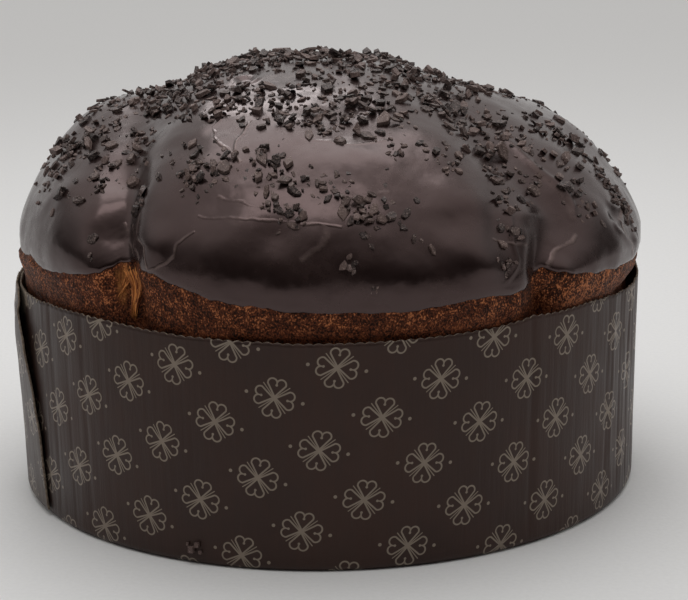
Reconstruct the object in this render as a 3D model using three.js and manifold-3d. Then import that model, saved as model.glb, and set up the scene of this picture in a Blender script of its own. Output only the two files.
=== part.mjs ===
// A low, glazed panettone in its paper baking case.
// Millimetres, +Z up. The axis of the case is the Z axis, the case stands on Z = 0 and its front faces -Y.
// An azimuth is in degrees from the front, positive towards +X.
import * as THREE from 'three';
import { mergeVertices } from 'three/addons/utils/BufferGeometryUtils.js';
import Module from 'manifold-3d';

const wasm = await Module();
wasm.setup();

// Paper case
const RIM_RADIUS = 105;
const FOOT_RADIUS = 103.9;
const RIM_HEIGHT = 72.4;
const RIM_SLOPE = 0.5;
const PAPER = 0.8;
const FLANGE_INNER_RADIUS = 92;
const CORNER_RADIUS = 2.2;
const CLEARANCE = 0.35;
const WALL_SIDES = 64;

// Loose end of the paper strip, which laps over the wall at the left
const LAP_AZIMUTH = -80;
const LAP_LENGTH = 36;
const LAP_LIFT_AT_FOOT = 0.4;
const LAP_LIFT_AT_RIM = 1.3;
const LAP_JOINED_FROM = 0.95;

// Dome, out to the glaze
const BELT_HEIGHT = 86;
const BELT_RADIUS = 104.6;
const APEX_HEIGHT = 142;
const APEX_SHIFT = -9;
const CRUST_DEPTH = 1.9;
const GLAZE_THICKNESS = 2.3;
const SWELLING_CENTRE_HEIGHT = 55;
const LOBE_SWELL = { amount: 1.2, fromFold: 26, reach: 14 };

// Bread inside the case: inset from the wall's outer face and height above the base
const BREAD_FOOT = [[6.2, 0], [2.2, 3], [1.35, 12], [1.4, 43], [1.6, 64]];
const CRUST_SHARES = [0, 0.5, 0.93];
const SIDE_GAP = { azimuth: 77, spread: 15, depth: 3.0 };

// Below the glaze's face the folds grow deeper and wider by these shares of the depth
const FOLD_DEEPENING = 0.45;
const FOLD_WIDENING = 0.3;

// The folds between the lobes: azimuth, height, depth and half width where each fold passes
const LEFT_FOLD = [
  [-35, 70, 2.5, 5], [-36, 88, 8, 6], [-38, 101, 8.5, 7], [-41, 111, 6.5, 8], [-46, 119, 5.5, 9],
  [-54, 125.5, 4.5, 10], [-70, 130, 3.5, 10], [-95, 131.5, 3, 10], [-120, 130, 4, 10],
  [-136, 121, 6, 10], [-143, 106, 7, 9], [-145, 88, 7, 8], [-145, 70, 2.5, 7],
];
const RIGHT_FOLD = [
  [39, 70, 2, 6], [39.5, 88, 5.5, 7], [43, 96, 5, 9], [46.7, 103, 4, 10], [45.5, 114, 3.2, 11],
  [48.5, 124, 2, 12], [62, 131.5, 0.9, 11], [90, 133.5, 0.9, 11], [114, 131, 2.2, 12],
  [132, 121, 4.5, 11], [141, 106, 6, 10], [143, 88, 6, 8], [142, 70, 2, 7],
];
const FRONT_CHANNEL = [
  [31, 84, 0.6, 6], [32, 92, 1.6, 6], [33, 102, 1.8, 7], [37, 112, 1.6, 8], [42, 120, 0.6, 9],
];

// Swellings and dips of the lobes: azimuth, height, reach and amount
const SWELLINGS = [[-86, 127, 23, 4.8], [-97, 137, 14, -3], [88, 117, 19, 3], [72, 131, 15, 2.2]];

// Height of the glaze's lower edge at each azimuth
const GLAZE_EDGE = [
  [-172, 82.5], [-150, 85.5], [-144, 92], [-138, 88], [-115, 83], [-90, 84.5], [-67, 87.5], [-52, 85.5],
  [-43, 88.5], [-35, 94], [-29, 91], [-19, 85], [-8, 82], [3, 81], [18, 82.3], [32, 85], [39, 89.6],
  [48, 84.5], [70, 80.5], [92, 82], [118, 84.5], [135, 86], [142, 90.5], [150, 86], [166, 82],
];

// Rings and sides of the dome
const DOME_SIDES = 72;
const GLAZE_RINGS = 15;
const CRUMB_RINGS = 9;
const FOLD_AZIMUTHS = [-143, -39, 39, 142];
const FOLD_CROWDING = 2.4;
const FOLD_SPREAD = 10;

// Chocolate flakes: each patch has an azimuth, a height, a spread and a share of the flakes
const FLAKE_COUNT = 150;
const FLAKE_LENGTH = [5, 11];
const FLAKE_THICKNESS = [1.1, 1.9];
const FLAKE_SINK = 0.75;
const LEAST_SUNK_SHARE = 0.12;
const FLAKE_SEED = 20;
const CROWN_SHARE = 0.46;
const CROWN_RADIUS = 62;
const FLAKE_PATCHES = [
  [-70, 123, 13, 5], [-62, 112, 12, 4], [-52, 101, 8, 1], [-40, 108, 8, 2], [-22, 116, 10, 4],
  [-8, 118, 9, 3], [6, 113, 8, 5], [14, 108, 6, 3], [18, 126, 12, 3], [36, 112, 7, 4], [33, 100, 5, 2],
  [44, 122, 10, 4], [66, 114, 11, 4], [80, 106, 9, 4], [110, 112, 14, 4], [150, 116, 14, 4],
  [180, 114, 14, 4], [-150, 112, 14, 4], [-112, 112, 14, 4],
];

const degrees = THREE.MathUtils.degToRad;
const up = new THREE.Vector3(0, 0, 1);

// Mulberry generator, so that the same flakes come out every time
function randomSource(seed) {
  let state = seed;
  return (low, high) => {
    state = (state + 0x6d2b79f5) | 0;
    let word = Math.imul(state ^ (state >>> 15), 1 | state);
    word = (word + Math.imul(word ^ (word >>> 7), 61 | word)) ^ word;
    return low + ((high - low) * ((word ^ (word >>> 14)) >>> 0)) / 4294967296;
  };
}

// Smooth value at an azimuth from knots that go once round
function valueAround(knots, azimuth) {
  const count = knots.length;
  const turned = azimuth < knots[0][0] ? azimuth + 360 : azimuth;
  let left = count - 1;
  while (knots[left][0] > turned) left -= 1;
  const start = knots[left];
  const end = knots[(left + 1) % count];
  const span = (end[0] - start[0] + 360) % 360;
  const share = THREE.MathUtils.smoothstep(turned - start[0], 0, span);
  return THREE.MathUtils.lerp(start[1], end[1], share);
}

// Point of the plain dome, before its folds
function domePoint(azimuth, height) {
  const turn = degrees(azimuth);
  const side = Math.sin(turn);
  const front = Math.cos(turn);
  const rise = THREE.MathUtils.clamp((height - BELT_HEIGHT) / (APEX_HEIGHT - BELT_HEIGHT), 0, 1);
  const fullness = 1.9 + 0.1 * front + 0.08 * side - 0.15 * side * side;
  const belt = BELT_RADIUS + 0.4 * front + side * (side < 0 ? 1.5 : 1.0);
  const drop = Math.max(BELT_HEIGHT - height, 0);
  const radius = belt * (1 - rise ** fullness) ** (1 / fullness) - 0.003 * drop * drop;
  return new THREE.Vector3(radius * side + APEX_SHIFT * rise, -radius * front, height);
}

// A fold as close points along a curve on the dome, each with its depth and half width
function foldPoints(fold) {
  const steps = 10 * (fold.length - 1);
  const path = new THREE.CatmullRomCurve3(fold.map(([azimuth, height]) => domePoint(azimuth, height)));
  return Array.from({ length: steps + 1 }, (_, step) => {
    const place = (step / steps) * (fold.length - 1);
    const first = Math.min(Math.floor(place), fold.length - 2);
    const share = place - first;
    return {
      point: path.getPoint(step / steps),
      depth: THREE.MathUtils.lerp(fold[first][2], fold[first + 1][2], share),
      width: THREE.MathUtils.lerp(fold[first][3], fold[first + 1][3], share),
    };
  });
}

const lobeFolds = [foldPoints(LEFT_FOLD), foldPoints(RIGHT_FOLD)];
const channel = foldPoints(FRONT_CHANNEL);
const swellings = SWELLINGS.map(([azimuth, height, reach, amount]) =>
  ({ centre: domePoint(azimuth, height), reach, amount }));

function nearestOn(fold, point) {
  let nearest = fold[0];
  let distance = Infinity;
  for (const candidate of fold) {
    const reach = candidate.point.distanceTo(point);
    if (reach < distance) {
      distance = reach;
      nearest = candidate;
    }
  }
  return { ...nearest, distance };
}

function outward(point) {
  return new THREE.Vector3(point.x - APEX_SHIFT / 2, point.y, point.z - SWELLING_CENTRE_HEIGHT).normalize();
}

// Point of the dome with its folds, sunk below the glaze's face; the folds are deeper in what lies below
function lobedPoint(azimuth, height, sunk) {
  const point = domePoint(azimuth, height);
  let offset = -sunk;
  let toFold = Infinity;
  for (const fold of lobeFolds) {
    const { depth, width, distance } = nearestOn(fold, point);
    const reach = width + FOLD_WIDENING * sunk;
    offset -= (depth + FOLD_DEEPENING * sunk) * Math.exp(-((distance / reach) ** 2));
    toFold = Math.min(toFold, distance);
  }
  const groove = nearestOn(channel, point);
  offset -= groove.depth * Math.exp(-((groove.distance / groove.width) ** 2));
  offset += LOBE_SWELL.amount * Math.exp(-(((toFold - LOBE_SWELL.fromFold) / LOBE_SWELL.reach) ** 2));
  for (const { centre, reach, amount } of swellings) {
    offset += amount * Math.exp(-((centre.distanceTo(point) / reach) ** 2));
  }
  return point.addScaledVector(outward(point), offset);
}

// Direction of the glaze's face, from four points round the place
function faceNormal(azimuth, height) {
  const across = lobedPoint(azimuth + 2, height, 0).sub(lobedPoint(azimuth - 2, height, 0));
  const upwards = lobedPoint(azimuth, Math.min(height + 1, APEX_HEIGHT), 0)
    .sub(lobedPoint(azimuth, height - 1, 0));
  return across.cross(upwards).normalize();
}

// Azimuths round the dome, closer together at the folds
function domeAzimuths() {
  const crowding = (azimuth) => FOLD_AZIMUTHS.reduce(
    (sum, fold) => sum + FOLD_CROWDING * Math.exp(-(((azimuth - fold) / FOLD_SPREAD) ** 2)), 1);
  const sums = [0];
  for (let azimuth = -180; azimuth < 180; azimuth += 0.5) {
    sums.push(sums.at(-1) + crowding(azimuth));
  }
  const azimuths = [];
  let index = 0;
  for (let side = 0; side <= DOME_SIDES; side += 1) {
    const wanted = (side / DOME_SIDES) * sums.at(-1);
    while (index < sums.length - 2 && sums[index + 1] < wanted) index += 1;
    azimuths.push(-180 + 0.5 * (index + (wanted - sums[index]) / (sums[index + 1] - sums[index])));
  }
  return azimuths;
}

// Closed geometry of merged vertices, without empty triangles and with its faces outwards
function closed(geometry) {
  geometry.deleteAttribute('normal');
  geometry.deleteAttribute('uv');
  const merged = mergeVertices(geometry, 1e-3);
  const corners = merged.index.array;
  const place = merged.attributes.position;
  const kept = [];
  let volume = 0;
  const [a, b, c] = [new THREE.Vector3(), new THREE.Vector3(), new THREE.Vector3()];
  for (let first = 0; first < corners.length; first += 3) {
    const [i, j, k] = corners.slice(first, first + 3);
    if (i === j || j === k || k === i) continue;
    kept.push(i, j, k);
    volume += a.fromBufferAttribute(place, i).dot(b.fromBufferAttribute(place, j)
      .cross(c.fromBufferAttribute(place, k)));
  }
  merged.setIndex(volume < 0 ? kept.reverse() : kept);
  return merged;
}

function solid(geometry) {
  return new wasm.Manifold(new wasm.Mesh({
    numProp: 3,
    vertProperties: Float32Array.from(geometry.attributes.position.array),
    triVerts: Uint32Array.from(geometry.index.array),
  }));
}

function fromSolid(body) {
  const { vertProperties, triVerts } = body.getMesh();
  const geometry = new THREE.BufferGeometry();
  geometry.setAttribute('position', new THREE.BufferAttribute(vertProperties, 3));
  geometry.setIndex(new THREE.BufferAttribute(triVerts, 1));
  return geometry;
}

// Lathe whose points are then placed by a rule from the row of the profile and the side
function shapedLathe(profile, sides, place) {
  const geometry = new THREE.LatheGeometry(profile, sides);
  const positions = geometry.attributes.position;
  for (let side = 0; side <= sides; side += 1) {
    for (let row = 0; row < profile.length; row += 1) {
      const point = place(row, side % sides);
      positions.setXYZ(side * profile.length + row, point.x, point.y, point.z);
    }
  }
  return closed(geometry);
}

function around(azimuth, radius, height) {
  return new THREE.Vector3(radius * Math.sin(degrees(azimuth)), -radius * Math.cos(degrees(azimuth)), height);
}

// Outer radius of the case's wall
function wallRadius(height) {
  const share = THREE.MathUtils.clamp(height / RIM_HEIGHT, 0, 1);
  return THREE.MathUtils.lerp(FOOT_RADIUS, RIM_RADIUS, share ** 1.3);
}

// The rim stands slightly higher at the right
function onRim(point) {
  const lean = (RIM_SLOPE * point.x) / RIM_RADIUS;
  point.z += lean * THREE.MathUtils.smoothstep(point.z, RIM_HEIGHT / 2, RIM_HEIGHT);
  return point;
}

function makeCaseWall() {
  const profile = [[FLANGE_INNER_RADIUS, 0]];
  const cornerSteps = 2;
  const cornerRow = (inset) => Array.from({ length: cornerSteps + 1 }, (_, step) => {
    const turn = degrees((90 * step) / cornerSteps);
    const radius = CORNER_RADIUS - inset;
    return [
      FOOT_RADIUS - CORNER_RADIUS + radius * Math.sin(turn),
      CORNER_RADIUS - radius * Math.cos(turn),
    ];
  });
  profile.push(...cornerRow(0));
  for (const height of [RIM_HEIGHT / 2, RIM_HEIGHT]) profile.push([wallRadius(height), height]);
  for (const height of [RIM_HEIGHT, RIM_HEIGHT / 2]) profile.push([wallRadius(height) - PAPER, height]);
  profile.push(...cornerRow(PAPER).reverse());
  profile.push([FLANGE_INNER_RADIUS, PAPER], [FLANGE_INNER_RADIUS, 0]);
  const outline = profile.map(([radius, height]) => new THREE.Vector2(radius, height));
  const ring = shapedLathe(outline, WALL_SIDES, (row, side) =>
    onRim(around((360 * side) / WALL_SIDES, outline[row].x, outline[row].y)));
  return fromSolid(solid(ring).add(solid(makeLap())));
}

// The strip's end: a sheet along the wall whose free edge stands off and whose other edge sinks into it
function makeLap() {
  const bottom = CORNER_RADIUS;
  const sheet = new THREE.BoxGeometry(1, 1, 1, 8, 3, 1);
  const positions = sheet.attributes.position;
  for (let index = 0; index < positions.count; index += 1) {
    const along = positions.getX(index) + 0.5;
    const height = THREE.MathUtils.lerp(bottom, RIM_HEIGHT + 0.3, positions.getY(index) + 0.5);
    const free = (1 - along) ** 2;
    const rise = (height / RIM_HEIGHT) ** 2;
    const lift = CLEARANCE + free * THREE.MathUtils.lerp(LAP_LIFT_AT_FOOT, LAP_LIFT_AT_RIM, rise);
    const inner = along > LAP_JOINED_FROM ? -0.5 * PAPER : lift;
    const radius = wallRadius(height) + inner + PAPER * (positions.getZ(index) + 0.5);
    const point = onRim(around(LAP_AZIMUTH - LAP_LENGTH * along, radius, height));
    positions.setXYZ(index, point.x, point.y, point.z);
  }
  return closed(sheet);
}

function makeCaseBase() {
  const radius = FOOT_RADIUS - CORNER_RADIUS - 1.4;
  const low = PAPER + CLEARANCE;
  const outline = [[0, low], [radius, low], [radius, low + PAPER], [0, low + PAPER]];
  return closed(new THREE.LatheGeometry(outline.map(([r, z]) => new THREE.Vector2(r, z)), 40)
    .rotateX(Math.PI / 2));
}

// Height of a ring between the glaze's edge and the top of the dome, by equal steps of angle
function ringHeight(edge, share) {
  const start = Math.asin(THREE.MathUtils.clamp((edge - BELT_HEIGHT) / (APEX_HEIGHT - BELT_HEIGHT), -1, 1));
  const turn = THREE.MathUtils.lerp(start, Math.PI / 2, share);
  return BELT_HEIGHT + (APEX_HEIGHT - BELT_HEIGHT) * Math.sin(turn);
}

// How far the crumb is drawn in from the case beside the gap at the right
function sideGap(azimuth, height) {
  const across = Math.exp(-(((azimuth - SIDE_GAP.azimuth) / SIDE_GAP.spread) ** 2));
  const below = THREE.MathUtils.smoothstep(height, RIM_HEIGHT - 25, RIM_HEIGHT - 6);
  const above = 1 - THREE.MathUtils.smoothstep(height, RIM_HEIGHT + 1, RIM_HEIGHT + 10);
  return SIDE_GAP.depth * across * below * above;
}

// Point moved towards the axis where it would come too near the paper
function insideRim(point) {
  const radius = Math.hypot(point.x, point.y);
  const widest = RIM_RADIUS - PAPER - 1.6 * CLEARANCE;
  const scale = Math.min(1, widest / radius);
  return new THREE.Vector3(scale * point.x, scale * point.y, point.z);
}

const azimuths = domeAzimuths();
const glazeEdge = azimuths.map((azimuth) => valueAround(GLAZE_EDGE, azimuth));

// Crumb and crust under the glaze: the rows that both bodies share, from the edge up
function crumbPoint(side, ring, sunk) {
  return lobedPoint(azimuths[side], ringHeight(glazeEdge[side] + 1, ring / CRUMB_RINGS), sunk);
}

// Bread: its rows run from the top down, as the glaze's inner rows do, so that the two faces match
function makeBread() {
  const bottom = 2 * PAPER + 2 * CLEARANCE;
  const inside = BREAD_FOOT.map(([inset, rise]) => [wallRadius(bottom + rise) - inset, bottom + rise]);
  inside.unshift([0, bottom]);
  const rows = inside.length + CRUST_SHARES.length + CRUMB_RINGS + 1;
  const profile = Array.from({ length: rows }, (_, row) => new THREE.Vector2(row % (rows - 1) ? 1 : 0, row));
  return shapedLathe(profile, DOME_SIDES, (fromTop, side) => {
    const azimuth = azimuths[side];
    const row = rows - 1 - fromTop;
    if (row < inside.length) {
      const [radius, height] = inside[row];
      return around(azimuth, radius - (radius ? sideGap(azimuth, height) : 0), height);
    }
    const crust = row - inside.length;
    if (crust < CRUST_SHARES.length) {
      const height = THREE.MathUtils.lerp(RIM_HEIGHT, glazeEdge[side], CRUST_SHARES[crust]);
      const point = lobedPoint(azimuth, height, CRUST_DEPTH + sideGap(azimuth, height));
      return crust === 0 ? insideRim(point) : point;
    }
    return crumbPoint(side, crust - CRUST_SHARES.length, GLAZE_THICKNESS + CLEARANCE);
  });
}

// Glaze: inner rows from the top down, a rounded lip, and outer rows up to the top
function makeGlazeShell() {
  const inner = CRUMB_RINGS + 1;
  const lip = [[0.9, 0.75], [0.1, 0.62], [0, 0.3], [0.7, 0]];
  const rows = inner + lip.length + GLAZE_RINGS;
  const profile = Array.from({ length: rows }, (_, row) => new THREE.Vector2(row % (rows - 1) ? 1 : 0, row));
  return shapedLathe(profile, DOME_SIDES, (row, side) => {
    if (row < inner) return crumbPoint(side, CRUMB_RINGS - row, GLAZE_THICKNESS);
    const outer = row - inner - lip.length;
    if (outer < 0) {
      const [above, sunk] = lip[row - inner];
      return lobedPoint(azimuths[side], glazeEdge[side] + above - 0.4, sunk * GLAZE_THICKNESS);
    }
    return lobedPoint(azimuths[side], ringHeight(glazeEdge[side] + 1.6, outer / (GLAZE_RINGS - 1)), 0);
  });
}

// Where a flake may lie: on the crown, or in one of the patches lower down
function flakePlace(random) {
  if (random(0, 1) < CROWN_SHARE) {
    const distance = CROWN_RADIUS * Math.sqrt(random(0, 1));
    const share = distance / (BELT_RADIUS + 4);
    const height = BELT_HEIGHT + (APEX_HEIGHT - BELT_HEIGHT) * Math.sqrt(1 - share * share);
    return { azimuth: random(-180, 180), height };
  }
  const total = FLAKE_PATCHES.reduce((sum, patch) => sum + patch[3], 0);
  let pick = random(0, total);
  const patch = FLAKE_PATCHES.find((candidate) => (pick -= candidate[3]) <= 0);
  const spread = () => random(-1, 1) + random(-1, 1);
  const azimuth = patch[0] + (spread() * patch[2] * 180) / (Math.PI * BELT_RADIUS);
  const height = Math.min(patch[1] + 0.6 * spread() * patch[2], APEX_HEIGHT - 4);
  return { azimuth, height };
}

// Irregular plate of four or five corners, lying across its own Z axis
function makeFlake(length, thickness, random) {
  const count = random(0, 1) < 0.6 ? 4 : 5;
  const outline = Array.from({ length: count }, (_, corner) => {
    const turn = ((corner + random(-0.25, 0.25)) * 2 * Math.PI) / count;
    const reach = 0.5 * length * random(0.75, 1.05);
    return new THREE.Vector2(reach * Math.cos(turn), 0.68 * reach * Math.sin(turn));
  });
  const plate = new THREE.ExtrudeGeometry(new THREE.Shape(outline), { depth: thickness, bevelEnabled: false });
  return plate.translate(0, 0, -thickness / 2);
}

function makeGlaze() {
  const random = randomSource(FLAKE_SEED);
  const placed = [];
  const shell = solid(makeGlazeShell());
  const bodies = [shell];
  while (placed.length < FLAKE_COUNT) {
    const order = placed.length / FLAKE_COUNT;
    const length = THREE.MathUtils.lerp(FLAKE_LENGTH[1], FLAKE_LENGTH[0], order ** 0.6) * random(0.92, 1.08);
    const { azimuth, height } = flakePlace(random);
    const point = lobedPoint(azimuth, height, 0);
    const crowded = placed.some((other) => other.point.distanceTo(point) < 0.46 * (other.length + length));
    if (crowded || height < BELT_HEIGHT + 8) continue;
    const thickness = random(...FLAKE_THICKNESS);
    const tilt = degrees(random(0, 26));
    const spin = random(0, 2 * Math.PI);
    const lift = 0.3 * length * Math.sin(tilt) + 0.5 * thickness - FLAKE_SINK;
    const normal = faceNormal(azimuth, height);
    const turn = new THREE.Quaternion().setFromUnitVectors(up, normal)
      .multiply(new THREE.Quaternion().setFromAxisAngle(up, spin))
      .multiply(new THREE.Quaternion().setFromAxisAngle(new THREE.Vector3(0, 1, 0), tilt));
    const flake = makeFlake(length, thickness, random).applyQuaternion(turn);
    flake.translate(...point.clone().addScaledVector(normal, lift).toArray());
    const body = solid(closed(flake));
    if (shell.intersect(body).volume() < LEAST_SUNK_SHARE * body.volume()) continue;
    bodies.push(body);
    placed.push({ point, length });
  }
  return fromSolid(bodies.reduce((whole, flake) => whole.add(flake)));
}

const looks = {
  paper: new THREE.MeshStandardMaterial({ color: 0x2f2523, roughness: 0.75, metalness: 0 }),
  board: new THREE.MeshStandardMaterial({ color: 0x6b5340, roughness: 0.9, metalness: 0 }),
  crust: new THREE.MeshStandardMaterial({ color: 0x4a2618, roughness: 0.85, metalness: 0 }),
  chocolate: new THREE.MeshStandardMaterial({ color: 0x271c1b, roughness: 0.35, metalness: 0 }),
};

function piece(name, geometry, material) {
  const mesh = new THREE.Mesh(geometry, material);
  mesh.name = name;
  return mesh;
}

const panettone = new THREE.Group();
panettone.add(
  piece('case_wall', makeCaseWall(), looks.paper),
  piece('case_base', makeCaseBase(), looks.board),
  piece('bread', makeBread(), looks.crust),
  piece('glaze', makeGlaze(), looks.chocolate),
);

export default panettone;
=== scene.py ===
import random
from math import asin, atan2, cos, degrees, exp, hypot, pi, radians, sin, sqrt

import bmesh
import bpy
from mathutils import Matrix, Vector, kdtree, noise
from mathutils.bvhtree import BVHTree


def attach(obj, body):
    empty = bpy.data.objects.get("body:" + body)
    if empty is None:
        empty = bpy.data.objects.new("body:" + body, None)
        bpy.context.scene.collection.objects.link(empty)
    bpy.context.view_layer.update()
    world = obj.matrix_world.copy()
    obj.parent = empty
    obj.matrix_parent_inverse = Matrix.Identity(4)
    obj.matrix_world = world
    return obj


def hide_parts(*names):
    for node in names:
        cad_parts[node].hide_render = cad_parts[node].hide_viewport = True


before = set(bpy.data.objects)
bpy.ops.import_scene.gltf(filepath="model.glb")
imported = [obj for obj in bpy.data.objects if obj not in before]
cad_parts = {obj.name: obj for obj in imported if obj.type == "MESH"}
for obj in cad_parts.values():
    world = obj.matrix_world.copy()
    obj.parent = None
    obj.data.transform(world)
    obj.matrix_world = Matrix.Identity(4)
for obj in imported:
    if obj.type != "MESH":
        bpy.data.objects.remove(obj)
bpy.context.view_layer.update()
scene = bpy.context.scene
mm = 0.001
print("frame loaded")


# Small helpers

def clamp(value, low=0.0, high=1.0):
    return min(max(value, low), high)


def smooth(value, low, high):
    share = clamp((value - low) / (high - low))
    return share * share * (3 - 2 * share)


def between(first, second, share):
    return first + (second - first) * share


def hump(distance, reach):
    return exp(-((distance / reach) ** 2))


def around(azimuth, radius, height):
    return Vector((radius * sin(radians(azimuth)), -radius * cos(radians(azimuth)), height))


def azimuthOf(point):
    return degrees(atan2(point.x, -point.y))


# Smooth value at a place, from knots
def valueAt(knots, place):
    for start, end in zip(knots, knots[1:]):
        if place <= end[0]:
            return between(start[1], end[1], smooth(place, start[0], end[0]))
    return knots[-1][1]


# Value at a place, straight between knots
def straightAt(knots, place):
    for start, end in zip(knots, knots[1:]):
        if place <= end[0]:
            return between(start[1], end[1], clamp((place - start[0]) / (end[0] - start[0])))
    return knots[-1][1]


# Smooth value at an azimuth, from knots that go once round
def valueAround(knots, azimuth):
    turned = azimuth + 360 if azimuth < knots[0][0] else azimuth
    left = max(index for index, knot in enumerate(knots) if knot[0] <= turned)
    start, end = knots[left], knots[(left + 1) % len(knots)]
    span = (end[0] - start[0]) % 360
    return between(start[1], end[1], smooth(turned - start[0], 0, span))


# Shader maths: a wire is one output socket, and sums on wires add their nodes
class Wire:
    def __init__(self, paint, socket):
        self.paint, self.socket = paint, socket

    def __add__(self, other):
        return self.paint.maths("ADD", self, other)

    def __sub__(self, other):
        return self.paint.maths("SUBTRACT", self, other)

    def __rsub__(self, other):
        return self.paint.maths("SUBTRACT", other, self)

    def __mul__(self, other):
        return self.paint.maths("MULTIPLY", self, other)

    def __truediv__(self, other):
        return self.paint.maths("DIVIDE", self, other)

    def __abs__(self):
        return self.paint.maths("ABSOLUTE", self)

    __radd__ = __add__
    __rmul__ = __mul__


class Paint:
    def __init__(self, name, constants):
        self.material = bpy.data.materials.new(name)
        self.material.use_nodes = True
        self.tree = self.material.node_tree
        self.shader = self.tree.nodes["Principled BSDF"]
        for socket, value in constants.items():
            self.shader.inputs[socket].default_value = value

    def put(self, socket, value):
        if isinstance(value, Wire):
            self.tree.links.new(value.socket, socket)
        else:
            socket.default_value = value

    def node(self, kind, settings=None, inputs=None, output=0):
        made = self.tree.nodes.new(kind)
        for name, value in (settings or {}).items():
            setattr(made, name, value)
        for name, value in (inputs or {}).items():
            self.put(made.inputs[name], value)
        return Wire(self, made.outputs[output])

    def maths(self, operation, *values):
        return self.node("ShaderNodeMath", {"operation": operation}, dict(enumerate(values)))

    def step(self, value, low, high):
        return self.node("ShaderNodeMapRange", {"interpolation_type": "SMOOTHSTEP"},
                         {"Value": value, "From Min": low, "From Max": high})

    def blend(self, share, first, second):
        return self.node("ShaderNodeMix", {"data_type": "RGBA"}, {0: share, 6: first, 7: second}, 2)

    def place(self):
        return self.node("ShaderNodeTexCoord", output="Object")

    def vector(self, operation, first, second=(0, 0, 0), output="Vector"):
        return self.node("ShaderNodeVectorMath", {"operation": operation}, {0: first, 1: second}, output)

    def stretched(self, vector, factors):
        return self.vector("MULTIPLY", vector, factors)

    def distance(self, vector, centre):
        return self.vector("DISTANCE", vector, centre, "Value")

    def parts(self, vector):
        split = self.node("ShaderNodeSeparateXYZ", None, {0: vector})
        return [Wire(self, socket) for socket in split.socket.node.outputs]

    # Noise with grains of about the given size in metres
    def grain(self, vector, size, detail=2.0, roughness=0.5):
        return self.node("ShaderNodeTexNoise", None,
                         {"Vector": vector, "Scale": 1 / size, "Detail": detail, "Roughness": roughness})

    def bump(self, height, depth, strength=1.0, under=None):
        inputs = {"Height": height, "Distance": depth, "Strength": strength}
        if under:
            inputs["Normal"] = under
        return self.node("ShaderNodeBump", None, inputs)

    def wear(self, **sockets):
        for name, value in sockets.items():
            self.put(self.shader.inputs[name.replace("_", " ")], value)
        return self.material


# Mesh helpers

# A grid is rolled into a tube round the z axis: each vertex goes where the rule puts its ring and azimuth
def shapedTube(rings, columns, place, closed=False):
    mesh = bmesh.new()
    steps = rings if closed else rings - 1
    bmesh.ops.create_grid(mesh, x_segments=columns, y_segments=steps, size=0.5)
    for vert in mesh.verts:
        column = round((vert.co.x + 0.5) * columns) % columns
        ring = round((vert.co.y + 0.5) * steps) % rings
        vert.co = place(ring, (360 * column / columns + 180) % 360 - 180) * mm
    bmesh.ops.remove_doubles(mesh, verts=mesh.verts, dist=1e-6)
    bmesh.ops.recalc_face_normals(mesh, faces=mesh.faces)
    return mesh


def meshData(name, mesh):
    data = bpy.data.meshes.new(name)
    mesh.to_mesh(data)
    mesh.free()
    return data


# Adds a copy of a mesh to a larger one, with a tone of its own
def addToned(whole, data, tone):
    layer = data.attributes.new("tone", "FLOAT", "POINT")
    layer.data.foreach_set("value", [tone] * len(data.vertices))
    whole.from_mesh(data)
    bpy.data.meshes.remove(data)


def makePiece(name, mesh, materials, replaced=(), rounded=True):
    for face in mesh.faces:
        face.smooth = rounded
    data = meshData(name, mesh)
    for material in materials:
        data.materials.append(material)
    piece = bpy.data.objects.new(name, data)
    scene.collection.objects.link(piece)
    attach(piece, "root")
    if replaced:
        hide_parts(*replaced)
    print(name, len(data.polygons), "faces")
    return piece


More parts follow.
